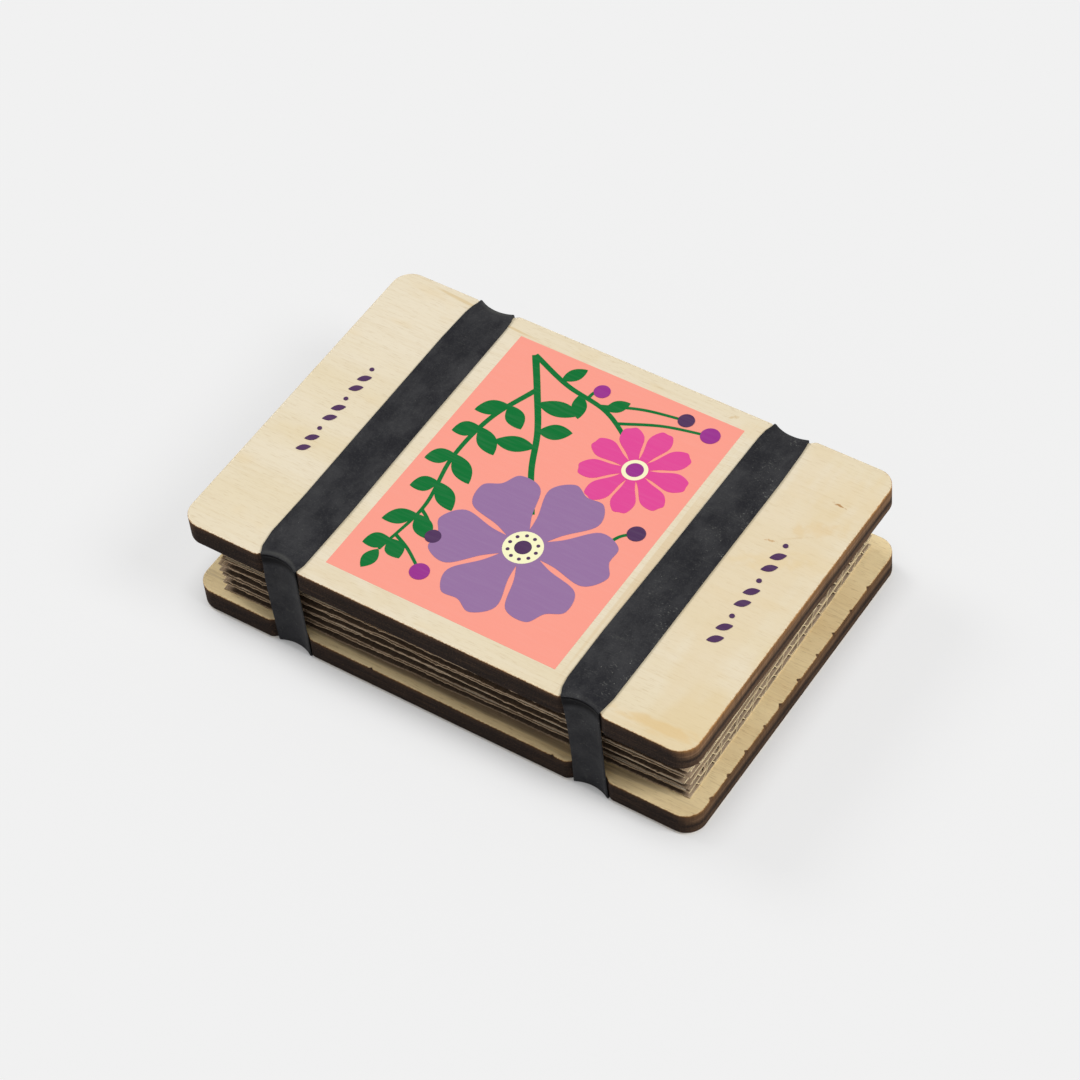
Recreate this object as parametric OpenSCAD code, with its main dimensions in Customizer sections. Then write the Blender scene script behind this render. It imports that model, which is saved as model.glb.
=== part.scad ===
// Pocket flower press. Two notched plywood boards squeeze a pile of corrugated card and
// absorbent paper, and two wide rubber bands, seated in the notches, pull the boards together.
// Sizes are in millimetres. X runs along the long side, Z is up, and z = 0 is the surface that
// the press lies on, which touches the undersides of the two bands.

/* [Boards] */
// Length of both boards
board_l = 150; // [130:1:180]
// Width of both boards
board_w = 100; // [86:1:120]
// Thickness of the plywood
board_t = 6.8; // [4:0.1:9]
// Radius of the boards' rounded corners
corner_r = 5.5; // [2:0.5:12]

/* [Notches] */
// Distance from a board's short end to the middle of the nearest notch
notch_from_end = 30.3; // [21:0.1:42]
// Radius of the notch's hollow
notch_r = 9; // [7.5:0.5:12]
// Depth of the notch, in from the board's long edge
notch_d = 2.6; // [1.6:0.1:4]
// Radius of the shoulders on both sides of the notch
shoulder_r = 2; // [0.5:0.1:4]

/* [Rubber bands] */
// Width of a band where it lies flat on a board
band_w = 13; // [8:0.5:15]
// Thickness of the stretched band
band_t = 0.8; // [0.5:0.1:1.6]
// Share of its width that the band keeps where it folds over the edges
band_fold_share = 0.92; // [0.8:0.01:1]
// Length over which the band draws in towards the fold
band_taper_l = 6; // [2:0.5:12]
// Gap between the band and the hollow of the notch
band_gap = 0.15; // [0.05:0.05:0.4]

/* [Corrugated card] */
// Thickness of one corrugated sheet
card_t = 2.9; // [2:0.1:5]
// Thickness of each of its two flat liners
liner_t = 0.25; // [0.15:0.01:0.5]
// Thickness of the wavy paper between the liners
medium_t = 0.2; // [0.12:0.01:0.4]
// Distance from one wave crest to the next
flute_pitch = 7.5; // [4:0.1:10]
// How far the wave's crests sink into the liners that they are glued to
glue_bite = 0.05; // [0.02:0.01:0.1]

/* [Absorbent paper] */
// Thickness of one sheet of paper
paper_t = 0.17; // [0.1:0.01:0.5]
// How much smaller the paper is than the card, on every side
paper_trim = 0.5; // [0:0.1:3]

/* [Pile] */
// Room between the pile's short ends and the boards' short ends
end_room = 6; // [3:0.5:12]
// Room between the pile's long sides and the bands
side_room = 1.9; // [0.6:0.1:6]
// Least distance that stays between any sheet and a band
sheet_clear = 0.3; // [0.2:0.1:0.5]
// Least distance that a sheet's end stays inside the boards' ends
end_clear = 1.5; // [0.5:0.1:2.5]

/* [Hidden] */
$fn = 96;

// Sheets in the pile: a pair of papers lies between each two cards
card_count = 6;
papers_between = 2;

// Air between sheets that lie on each other, so that no two share space
air = 0.005;
layer_h = card_t + papers_between * paper_t + (papers_between + 1) * air;
pile_h = (card_count - 1) * layer_h + card_t + 2 * air;

// Heights, from the bands' undersides up
bottom_board_z = band_t;
pile_z = bottom_board_z + board_t;
top_board_z = pile_z + pile_h;
top_face_z = top_board_z + board_t;
squeezed_h = top_face_z - bottom_board_z;

// Outlines of the sheets
card_l = board_l - 2 * end_room;
card_w = board_w - 2 * (notch_d + side_room);
paper_l = card_l - 2 * paper_trim;
paper_w = card_w - 2 * paper_trim;

// How far a loose sheet may lie from the middle
play_x = end_room - end_clear;
play_y = side_room - sheet_clear;

// Where each sheet lies: [shift at the left band, shift at the right band, shift along X],
// the first two as shares of play_y and the third as a share of play_x
card_shares = [
    [-1.00,  0.23,  0.15],
    [-0.92,  0.42,  0.20],
    [-0.89, -0.11,  0.07],
    [-0.94,  0.06,  0.42],
    [-0.67, -0.33,  0.52],
    [-0.59, -0.03,  0.30]
];
paper_shares = [
    [-0.80,  0.10,  0.10],
    [-0.96,  0.55,  0.18],
    [-0.85,  0.20,  0.14],
    [-0.98, -0.30,  0.12],
    [-0.75,  0.05,  0.25],
    [-0.90, -0.15,  0.38],
    [-0.97,  0.20,  0.46],
    [-0.70, -0.45,  0.40],
    [-0.80, -0.10,  0.60],
    [-0.50, -0.20,  0.15]
];

// The notch, seen from above: its hollow is a circle whose centre lies outside the board
notch_x = board_l / 2 - notch_from_end;
notch_centre_y = board_w / 2 - notch_d + notch_r;
shoulder_y = board_w / 2 - shoulder_r;
shoulder_dy = notch_centre_y - shoulder_y;
shoulder_dx = sqrt(pow(notch_r + shoulder_r, 2) - pow(shoulder_dy, 2));
shoulder_meet_y = shoulder_y + shoulder_r * shoulder_dy / (notch_r + shoulder_r);

// The band where it lies in the hollow
band_outer_r = notch_r - band_gap;
band_inner_r = band_outer_r - band_t;
band_half_angle = band_w * band_fold_share / (band_outer_r + band_inner_r) * 180 / PI;

// The band's edges where it leaves the board's face
fold_half_w = notch_r * sin(band_half_angle);
fold_y = notch_centre_y - notch_r * cos(band_half_angle);
taper_y = fold_y - band_taper_l;

// The wave between the liners
wave_amp = card_t / 2 - liner_t - medium_t / 2 + glue_bite;
wave_steps = 10;
wave_count = ceil(card_w / flute_pitch * wave_steps);

// How far a cutting shape reaches past what it cuts
cut_over = 1;

birch = "#E6D7B2";
kraft = "#B9A07A";
blotting = "#DDD6C6";
rubber = "#323231";

// One end of the board's hollow with its two rounded shoulders, at the long side y > 0
module notch_cut() {
    translate([0, notch_centre_y]) circle(r = notch_r);
    difference() {
        translate([-shoulder_dx, shoulder_meet_y])
            square([2 * shoulder_dx, board_w / 2 + cut_over - shoulder_meet_y]);
        for (side = [-1, 1])
            translate([side * shoulder_dx, shoulder_y]) circle(r = shoulder_r);
    }
}

// Board outline: a rectangle with round corners and a notch for each band on both long sides
module board_outline() {
    difference() {
        union() {
            square([board_l - 2 * corner_r, board_w], center = true);
            square([board_l, board_w - 2 * corner_r], center = true);
            for (sx = [-1, 1], sy = [-1, 1])
                translate([sx * (board_l / 2 - corner_r), sy * (board_w / 2 - corner_r)])
                    circle(r = corner_r);
        }
        for (sx = [-1, 1]) {
            translate([sx * notch_x, 0]) notch_cut();
            translate([sx * notch_x, 0]) mirror([0, 1]) notch_cut();
        }
    }
}

module board(z) {
    translate([0, 0, z]) linear_extrude(height = board_t) board_outline();
}

module bottom_board() {
    color(birch) board(bottom_board_z);
}

module top_board() {
    color(birch) board(top_board_z);
}

// Puts a sheet at its height and at its own place in the pile
module in_pile(shares, z) {
    turn = atan((shares[1] - shares[0]) * play_y / (2 * notch_x));
    translate([shares[2] * play_x, (shares[0] + shares[1]) / 2 * play_y, z])
        rotate([0, 0, turn]) children();
}

// Height of the wave's middle line at a distance y from the sheet's middle
function wave_z(y) = card_t / 2 + wave_amp * sin(y / flute_pitch * 360);

// Place of the wave's points across the sheet
function wave_y(i) = -card_w / 2 + i * card_w / wave_count;

// End view of a corrugated sheet: two liners and the wave between them
module card_profile() {
    translate([-card_w / 2, 0]) square([card_w, liner_t]);
    translate([-card_w / 2, card_t - liner_t]) square([card_w, liner_t]);
    polygon(concat(
        [for (i = [0 : wave_count]) [wave_y(i), wave_z(wave_y(i)) - medium_t / 2]],
        [for (i = [wave_count : -1 : 0]) [wave_y(i), wave_z(wave_y(i)) + medium_t / 2]]
    ));
}

// The flutes run along X, so their open cells show at the short ends
module corrugated_card(n) {
    color(kraft)
        in_pile(card_shares[n - 1], pile_z + air + (n - 1) * layer_h)
            translate([-card_l / 2, 0, 0]) rotate([90, 0, 90])
                linear_extrude(height = card_l) card_profile();
}

// Papers 1 and 2 lie between cards 1 and 2, and so on up
module blotting_paper(n) {
    gap = floor((n - 1) / papers_between);
    place = (n - 1) % papers_between;
    z_in_layer = card_t + air + place * (paper_t + air);
    color(blotting)
        in_pile(paper_shares[n - 1], pile_z + air + gap * layer_h + z_in_layer)
            translate([-paper_l / 2, -paper_w / 2, 0]) cube([paper_l, paper_w, paper_t]);
}

// Plan view of a band: drawn in towards the folds, then cut towards the notches' centres
module band_plan() {
    polygon([
        [0, -notch_centre_y], [fold_half_w, -fold_y],
        [band_w / 2, -taper_y], [band_w / 2, taper_y],
        [fold_half_w, fold_y], [0, notch_centre_y],
        [-fold_half_w, fold_y], [-band_w / 2, taper_y],
        [-band_w / 2, -taper_y], [-fold_half_w, -fold_y]
    ]);
}

// Section through the band from its wall in the hollow out past the board's middle line
module band_section() {
    reach = notch_centre_y - band_outer_r + band_w;
    for (z = [0, top_face_z])
        translate([band_outer_r, z]) square([reach, band_t]);
    translate([band_inner_r, bottom_board_z]) square([band_t, squeezed_h]);
    intersection() {
        translate([band_outer_r, bottom_board_z]) circle(r = band_t);
        translate([band_outer_r - 2 * band_t, bottom_board_z - 2 * band_t]) square(2 * band_t);
    }
    intersection() {
        translate([band_outer_r, top_face_z]) circle(r = band_t);
        translate([band_outer_r - 2 * band_t, top_face_z]) square(2 * band_t);
    }
}

// Half of the loop, all the way round the centre of the notch at the side y > 0
module band_half() {
    translate([0, notch_centre_y, 0]) rotate_extrude() band_section();
}

module band(x) {
    color(rubber) translate([x, 0, 0])
        intersection() {
            translate([0, 0, -cut_over])
                linear_extrude(height = top_face_z + band_t + 2 * cut_over) band_plan();
            union() {
                band_half();
                mirror([0, 1, 0]) band_half();
            }
        }
}

module left_band() {
    band(-notch_x);
}

module right_band() {
    band(notch_x);
}

bottom_board();
corrugated_card(1);  // corrugated_card_1
blotting_paper(1);  // blotting_paper_1
blotting_paper(2);  // blotting_paper_2
corrugated_card(2);  // corrugated_card_2
blotting_paper(3);  // blotting_paper_3
blotting_paper(4);  // blotting_paper_4
corrugated_card(3);  // corrugated_card_3
blotting_paper(5);  // blotting_paper_5
blotting_paper(6);  // blotting_paper_6
corrugated_card(4);  // corrugated_card_4
blotting_paper(7);  // blotting_paper_7
blotting_paper(8);  // blotting_paper_8
corrugated_card(5);  // corrugated_card_5
blotting_paper(9);  // blotting_paper_9
blotting_paper(10);  // blotting_paper_10
corrugated_card(6);  // corrugated_card_6
top_board();
left_band();
right_band();
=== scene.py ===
import math
import random

import bpy
from bpy.props import FloatProperty, FloatVectorProperty, PointerProperty
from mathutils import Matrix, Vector, noise


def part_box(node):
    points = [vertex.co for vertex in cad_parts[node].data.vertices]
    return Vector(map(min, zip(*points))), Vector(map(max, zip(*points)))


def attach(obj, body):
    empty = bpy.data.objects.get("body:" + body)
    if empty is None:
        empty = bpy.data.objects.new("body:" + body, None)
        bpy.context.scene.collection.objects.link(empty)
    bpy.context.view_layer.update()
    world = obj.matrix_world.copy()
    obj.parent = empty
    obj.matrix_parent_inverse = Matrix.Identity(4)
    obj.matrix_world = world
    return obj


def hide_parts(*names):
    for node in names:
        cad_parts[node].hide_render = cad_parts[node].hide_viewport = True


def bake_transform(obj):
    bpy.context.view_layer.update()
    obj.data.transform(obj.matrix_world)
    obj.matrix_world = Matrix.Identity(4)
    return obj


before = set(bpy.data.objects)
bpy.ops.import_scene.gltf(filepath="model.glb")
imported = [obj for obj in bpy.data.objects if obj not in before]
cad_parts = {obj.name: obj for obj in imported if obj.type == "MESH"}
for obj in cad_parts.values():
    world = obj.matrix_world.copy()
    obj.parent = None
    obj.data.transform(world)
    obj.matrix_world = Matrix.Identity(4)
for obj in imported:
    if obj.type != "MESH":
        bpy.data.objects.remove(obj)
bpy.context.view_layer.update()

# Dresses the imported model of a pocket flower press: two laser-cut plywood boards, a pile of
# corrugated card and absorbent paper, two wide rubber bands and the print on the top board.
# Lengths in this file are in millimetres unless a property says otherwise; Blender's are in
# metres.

bl_info = {
    "name": "Flower press",
    "version": (1, 0, 0),
    "blender": (4, 5, 0),
    "location": "View3D > Sidebar > Flower press",
    "description": "Dresses a pocket flower press in plywood, card, paper, rubber and print",
    "category": "Object",
}

MM = 0.001
CARDS = sorted(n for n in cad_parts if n.startswith("corrugated_card_"))
PAPERS = sorted((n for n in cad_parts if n.startswith("blotting_paper_")),
                key=lambda n: int(n.rsplit("_", 1)[1]))


def linear(code):
    """Linear colour of an sRGB hex value."""
    channels = [int(code[i:i + 2], 16) / 255 for i in (1, 3, 5)]
    values = [c / 12.92 if c <= 0.04045 else ((c + 0.055) / 1.055) ** 2.4 for c in channels]
    return (*values, 1.0)


def box_mm(node):
    """Lowest and highest corner of a CAD node, in millimetres."""
    low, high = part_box(node)
    return low / MM, high / MM


TOP_LOW, TOP_HIGH = box_mm("top_board")
BOTTOM_LOW, BOTTOM_HIGH = box_mm("bottom_board")
BAND_LOW, BAND_HIGH = box_mm("right_band")


def length_property(name, description, size):
    """A length that the user can change, with its default in millimetres."""
    return FloatProperty(name=name, description=description, default=size * MM, unit="LENGTH")


def colour_property(name, description, code):
    """A colour that the user can change, given as its sRGB hex value."""
    return FloatVectorProperty(name=name, description=description, default=linear(code),
                               size=4, min=0.0, max=1.0, subtype="COLOR")


class PressSizes(bpy.types.PropertyGroup):
    """Sizes that the frame's boxes don't give. Most repeat the CAD model's."""
    corner_r: length_property("Corner radius", "Radius of the boards' corners", 5.5)
    notch_r: length_property("Notch radius", "Radius of the hollow that a band lies in", 9)
    notch_d: length_property("Notch depth", "Depth of the notch, in from the long edge", 2.6)
    shoulder_r: length_property("Shoulder radius", "Radius of the shoulders beside a notch", 2)
    band_t: length_property("Band thickness", "Thickness of the rubber as the eye sees it", 0.55)
    band_gap: length_property("Band gap", "Gap between a band and its notch's hollow", 0.15)
    flute_pitch: length_property("Flute pitch", "Distance between the card wave's crests", 7.5)
    liner_t: length_property("Liner thickness", "Thickness of the card's flat liners", 0.25)
    medium_t: length_property("Wave thickness", "Thickness of the card's wavy paper", 0.2)
    wave_back: length_property("Wave setback", "How far the wave ends inside the long sides", 4.4)
    print_l: length_property("Print length", "Length of the printed panel, across the board", 87.8)
    print_w: length_property("Print width", "Width of the printed panel, along the board", 67.6)
    ink_t: length_property("Ink thickness", "Thickness of one layer of ink", 0.03)


class PressColours(bpy.types.PropertyGroup):
    """Base colours of the press's materials and of the floor."""
    veneer: colour_property("Veneer", "Pale face of the top board", "#ECE0C7")
    veneer_warm: colour_property("Warm veneer", "Warmer bands in the veneer", "#E8D9B8")
    inner_veneer: colour_property("Inner veneer", "Face of the bottom board", "#F6E2B4")
    kraft: colour_property("Kraft", "Corrugated card", "#C0A98F")
    blotting: colour_property("Blotting paper", "Absorbent paper", "#BDB09B")
    rubber: colour_property("Rubber", "Bands", "#242428")
    ink_ground: colour_property("Salmon ink", "Ground of the print", "#FDA08E")
    ink_bloom: colour_property("Purple ink", "Large bloom", "#9874A2")
    ink_daisy: colour_property("Pink ink", "Daisy", "#E44A98")
    ink_leaf: colour_property("Green ink", "Stems and leaves", "#007232")
    ink_berry: colour_property("Magenta ink", "Berries", "#9C3290")
    ink_dark: colour_property("Dark purple ink", "Seeds and rows of leaves", "#52345C")
    ink_cream: colour_property("Cream ink", "Hearts of the blooms", "#FBF8CA")
    floor: colour_property("Floor", "Pale floor", "#F1F1F1")


class PressStage(bpy.types.PropertyGroup):
    """Camera and light. The camera stands where a fit to the boards' outlines puts it."""
    eye: FloatVectorProperty(
        name="Camera place", description="Where the camera stands",
        default=(0.35948, -0.45523, 0.69582), size=3, subtype="TRANSLATION")
    aim: FloatVectorProperty(
        name="Camera turn", description="Turn of the camera about X, Y and Z",
        default=[math.radians(a) for a in (40.3663, 4.2597, 33.1449)], size=3, subtype="EULER")
    lens: FloatProperty(name="Lens", description="Focal length in millimetres", default=117.84)
    shift_x: FloatProperty(name="Shift X", description="Sideways shift", default=-0.0080)
    shift_y: FloatProperty(name="Shift Y", description="Upward shift", default=-0.0021)
    dome: FloatProperty(name="Dome", description="Strength of the even light", default=0.34)
    key: FloatProperty(name="Keys", description="Strength of the soft lights", default=1.47)
    glow: FloatProperty(
        name="Floor glow", description="Share of the floor that is even white to the eye",
        default=0.75, min=0.0, max=1.0, subtype="FACTOR")
    floor_reach: length_property("Floor", "Half of the floor's side", 3000)


def in_mm(length):
    """A property's length, which Blender keeps in metres, in millimetres."""
    return length / MM


def lerp(a, b, t):
    return a + (b - a) * t


def ease(t):
    """0 to 1 with a soft start and end."""
    t = min(max(t, 0.0), 1.0)
    return t * t * (3 - 2 * t)


def near(away, reach):
    """1 at an edge, eased down to 0 at reach away from it."""
    return 1 - ease(away / reach)


def swell(away, width):
    """A bell: 1 at a place, and nearly 0 at twice the width away from it."""
    return math.exp(-(away / width) ** 2)


def wander(seed, *place):
    """Smooth noise from -1 to 1 at a place, with its own field for each seed."""
    x, y, z = (list(place) + [0.0, 0.0])[:3]
    return noise.noise(Vector((x + 17.3 * seed, y - 9.1 * seed, z + 4.7 * seed)))


# Node helpers

def wire(tree, node, sockets):
    """Sets a node's inputs. A value is another node's output, an sRGB hex value or plain."""
    for key, value in sockets.items():
        if isinstance(value, bpy.types.NodeSocket):
            tree.links.new(value, node.inputs[key])
        else:
            node.inputs[key].default_value = linear(value) if isinstance(value, str) else value


def add(tree, kind, sockets=None, out=0, ramp=(), **settings):
    """Adds a node with its settings, inputs and ramp, and gives one of its outputs."""
    node = tree.nodes.new("ShaderNode" + kind)
    for key, value in settings.items():
        setattr(node, key, value)
    wire(tree, node, sockets or {})
    for i, (place, code) in enumerate(ramp):
        stops = node.color_ramp.elements
        stop = stops[i] if i < len(stops) else stops.new(place)
        stop.position, stop.color = place, linear(code)
    return node.outputs[out]


def new_material(name):
    """A material with its tree and its shader."""
    material = bpy.data.materials.new(name)
    material.use_nodes = True
    tree = material.node_tree
    return material, tree, tree.nodes["Principled BSDF"]


def pattern(tree, size, low, high, top=1.0, detail=2.0, rough=0.5, twist=0.0, shift=(0, 0, 0)):
    """Random pattern from 0 to top whose lumps are size millimetres long along X, Y and Z."""
    place = add(tree, "TexCoord", out="Object")
    scaled = add(tree, "Mapping", {"Vector": place, "Location": shift,
                                   "Scale": [1 / (s * MM) for s in size]})
    lumps = add(tree, "TexNoise", {"Vector": scaled, "Scale": 1.0, "Detail": detail,
                                   "Roughness": rough, "Distortion": twist})
    return add(tree, "MapRange", {0: lumps, 1: low, 2: high, 3: 0.0, 4: top},
               interpolation_type="SMOOTHSTEP")


def coat(tree, shader, base, layers, relief, depth, strength, others):
    """Gives the shader a base colour with layers of (share, colour) over it, a relief that is
    depth millimetres deep, and its other inputs."""
    colour = base
    for share, over in layers:
        colour = add(tree, "Mix", {0: share, 6: colour, 7: over}, 2, data_type="RGBA")
    bump = add(tree, "Bump", {"Height": relief, "Distance": depth * MM, "Strength": strength})
    wire(tree, shader, {"Base Color": colour, "Normal": bump, **others})


# Plywood

# Colours of the plies from a board's underside up to its face, as (share of the height, colour),
# on the short ends and on the long sides. The ends' lighter colours and the long sides' near
# black are partly char and partly painted light and shade: the ends lit, the long sides in shade
END_PLIES = ((0.0, "#634A37"), (0.14, "#684F3B"), (0.25, "#5B4838"), (0.31, "#3F3028"),
             (0.36, "#332720"), (0.42, "#3E3027"), (0.50, "#6B523C"), (0.64, "#957355"),
             (0.80, "#876243"), (0.93, "#A3784A"), (1.0, "#CC9354"))
LONG_PLIES = ((0.0, "#241B18"), (0.30, "#2A201C"), (0.37, "#30251F"), (0.66, "#281E1B"),
              (0.78, "#3A2B24"), (0.90, "#4E392B"), (0.96, "#6A4C33"), (1.0, "#A0713F"))

# Stains, streaks and the knot on a face, as (x, y, turn, half length, half width, colour,
# strength). Two are painted shade: the right band's soft shadow on the top face beside the print,
# and the dark band along the pile's foot on the bottom board's inner face
TOP_MARKS = (
    (76, -42, 0, 32, 30, "#E3CB9A", 0.55), (58, 6, 0, 26, 60, "#E6D2AC", 0.5),
    # (36.6, 0) is painted shade: the right band's soft shadow on the face beside the print
    (36.6, 0, 0, 2.6, 50, "#DCC196", 0.5), (66, 38, 0, 16, 14, "#E4CB98", 0.35),
    (-25, -47, 0, 30, 5, "#E0CBA0", 0.3), (66.6, 34.6, -6, 2.2, 0.45, "#B07C42", 0.85),
    (62.5, 20.2, 32, 5.0, 0.5, "#D0B283", 0.3), (57.6, 16.6, 14, 1.6, 0.45, "#C18E4E", 0.6),
    (66.0, 25.0, 25, 8.0, 3.2, "#E3C083", 0.3), (62.0, 11.0, 24, 13.0, 3.6, "#E6C98F", 0.3),
    (66.0, -45.2, 6, 17.0, 2.4, "#E3C184", 0.5), (-48.0, 46.8, -6, 26.0, 0.7, "#D9BE8C", 0.6),
    (28.5, 47.0, 30, 2.4, 0.6, "#D2B483", 0.6), (-62.0, -12.0, 2, 18.0, 4.0, "#E6D3AA", 0.25))
# The first inner mark is painted shade along the pile's foot, where the pile and top board shade it
INNER_MARKS = ((0, -45.4, 0, 130, 2.1, "#7F6B5A", 0.85), (-20, 40, 0, 60, 9, "#E0C48C", 0.4))


def face_marks(tree, marks):
    """Layers for the marks on a face. A mark's outline is ragged and fades outwards."""
    place, layers = add(tree, "TexCoord", out="Object"), []
    for x, y, turn, half_l, half_w, code, strength in marks:
        inside = add(tree, "Mapping", {
            "Vector": place, "Location": (x * MM, y * MM, 0.0),
            "Rotation": (0.0, 0.0, math.radians(turn)),
            "Scale": (half_l * MM, half_w * MM, 1.0)}, vector_type="TEXTURE")
        away = add(tree, "VectorMath", {0: inside}, "Value", operation="LENGTH")
        ragged = pattern(tree, (0.35 * half_l, 1.1 * half_w, 1.0), 0.25, 0.75, 0.9)
        away = add(tree, "Math", {0: away, 1: ragged})
        share = add(tree, "MapRange", {0: away, 1: 0.6, 2: 1.45, 3: strength, 4: 0.0},
                    interpolation_type="SMOOTHSTEP")
        layers.append((share, code))
    return layers


def charred_cut(tree, kerf, burnt):
    """Colour of the cut edges: the plies show on the short ends, and the long sides are burnt
    nearly black. The ends' lighter plies and the long sides' darker char are partly painted light
    and shade. The plies' own grain runs along the cut."""
    height, end_share = (add(tree, "Attribute", out="Fac", attribute_name=key)
                         for key in ("ply_share", "end_share"))
    colour, end_cut = (add(tree, "ValToRGB", {0: height}, ramp=plies)
                       for plies in (LONG_PLIES, END_PLIES))
    for share, over in (
            (end_share, end_cut), (burnt, "#1E1512"),
            (pattern(tree, (16, 16, 0.32), 0.40, 0.68, 0.45, 3.0), "#120D0C"),
            (pattern(tree, (9, 9, 0.22), 0.48, 0.70, 0.3, 3.0, 0.6), "#644C3B"),
            (kerf, "#171110"),
            (pattern(tree, (0.45, 0.45, 0.3), 0.52, 0.74, 0.38, 3.0, 0.7), "#8A6A4C"),
            (pattern(tree, (9.0, 9.0, 2.2), 0.45, 0.7, 0.3, 3.0), "#1E1714")):
        colour = add(tree, "Mix", {0: share, 6: colour, 7: over}, 2, data_type="RGBA")
    return colour


def birch_veneer(name, pale, warm, seed, grain, marks, burnt):
    """Birch plywood with a sanded veneer face and laser-cut edges. The face is pale, with faint
    long grain along X, short pores and a few warm flecks; the cut edges are charred, darker on
    the long sides, and their plies and glue lines show on the short ones. The short ends are
    lighter and the long sides darker partly as painted light and shade."""
    material, tree, shader = new_material(name)
    shift = (3.1 * seed, 5.7 * seed, 0.0)
    # Birch pores are about 0.1 mm wide and 1 to 2 mm long: drawn 0.25 mm wide so that they show
    pores = pattern(tree, (3.2, 0.25, 2.0), 0.54, 0.74, 0.32 * grain, 2.0, 0.6, 0.2, shift)
    # The beam leaves upright lines 0.3 mm apart
    kerf = pattern(tree, (0.32, 0.32, 9.0), 0.38, 0.72, 0.32, 2.0, 0.6)
    edge = add(tree, "Math", {0: add(tree, "Attribute", out="Fac", attribute_name="edge_mm"),
                              1: pattern(tree, (0.5, 0.5, 0.5), 0.3, 0.75, 0.25, 3.0)})
    scorched = add(tree, "MapRange", {0: edge, 1: 0.1, 2: 0.42, 3: 0.62, 4: 0.0},
                   interpolation_type="SMOOTHSTEP")
    charred = add(tree, "MapRange", {0: edge, 1: 0.04, 2: 0.14, 3: 1.0, 4: 0.0},
                  interpolation_type="SMOOTHSTEP")
    layers = [
        (pattern(tree, (85, 13, 40), 0.36, 0.70, 0.8, 3.0, shift=shift), warm),
        (pattern(tree, (24, 0.8, 9), 0.45, 0.72, 0.18 * grain, 4.0, 0.62, 0.3, shift), "#CDB180"),
        (pattern(tree, (16, 9, 9), 0.56, 0.74, 0.2, shift=shift), "#E6C88F"),
        (pores, "#B69663"), *face_marks(tree, marks),
        (scorched, "#B47C3E"), (charred, charred_cut(tree, kerf, burnt))]
    relief = add(tree, "Math", {0: kerf, 1: charred, 2: pores}, operation="MULTIPLY_ADD")
    rough = add(tree, "MapRange", {0: charred, 3: 0.55, 4: 0.85})
    coat(tree, shader, pale, layers, relief, 0.1, 0.6,
         {"Roughness": rough, "IOR": 1.5, "Specular IOR Level": 0.12})
    return material


# Card, paper and rubber

def kraft_card(name, base):
    """Grey-brown liner and wave of corrugated card, cut with a blunt knife: dull and flecked
    with fibres, cream only where the short ends show the fresh cut, and darkened with painted
    shade down in the gaps between its liners and on faces that other sheets cover."""
    material, tree, shader = new_material(name)
    end_mm, depth_mm = (add(tree, "Attribute", out="Fac", attribute_name=key)
                        for key in ("end_mm", "depth_mm"))
    # Kraft fibres are 0.03 mm wide: drawn as flecks of 0.5 mm so that they show
    fleck = pattern(tree, (0.5, 1.2, 0.3), 0.48, 0.72, 0.4, 3.0, 0.7)
    # The wave's paper is ribbed by the rollers that bend it
    ribs = pattern(tree, (0.3, 6.0, 3.0), 0.42, 0.66, 0.35)
    # Painted shade: darker the deeper a point lies in the gaps between the sheets
    hollow = add(tree, "MapRange", {0: depth_mm, 1: 0.35, 2: 3.0, 3: 0.0, 4: 0.74},
                 interpolation_type="SMOOTHSTEP")
    fresh = add(tree, "MapRange", {0: end_mm, 1: 0.03, 2: 0.26, 3: 0.85, 4: 0.0},
                interpolation_type="SMOOTHSTEP")
    layers = [(pattern(tree, (22, 14, 4), 0.35, 0.7, 0.3), "#87725D"),
              (ribs, "#6F5B4A"), (fleck, "#6F5B4A"),
              (hollow, "#38281F"), (fresh, "#DFCEA8")]
    coat(tree, shader, base, layers, fleck, 0.12, 0.7,
         {"Roughness": 0.9, "Specular IOR Level": 0.15})
    return material


def blotting_paper(name, base):
    """Absorbent paper, unsized and soft: matt, a little cloudy, with a felt texture."""
    material, tree, shader = new_material(name)
    # The felt's clumps of fibres are 0.6 to 0.7 mm across
    felt = pattern(tree, (0.7, 0.7, 0.7), 0.3, 0.7, 1.0, 3.0, 0.65)
    layers = [(pattern(tree, (9, 7, 3), 0.35, 0.7, 0.4, 3.0), "#CABFA6"),
              (pattern(tree, (0.6, 0.6, 0.6), 0.5, 0.75, 0.25, 3.0, 0.7), "#8F826C")]
    coat(tree, shader, base, layers, felt, 0.02, 0.6,
         {"Roughness": 0.92, "Specular IOR Level": 0.15})
    return material


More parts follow.
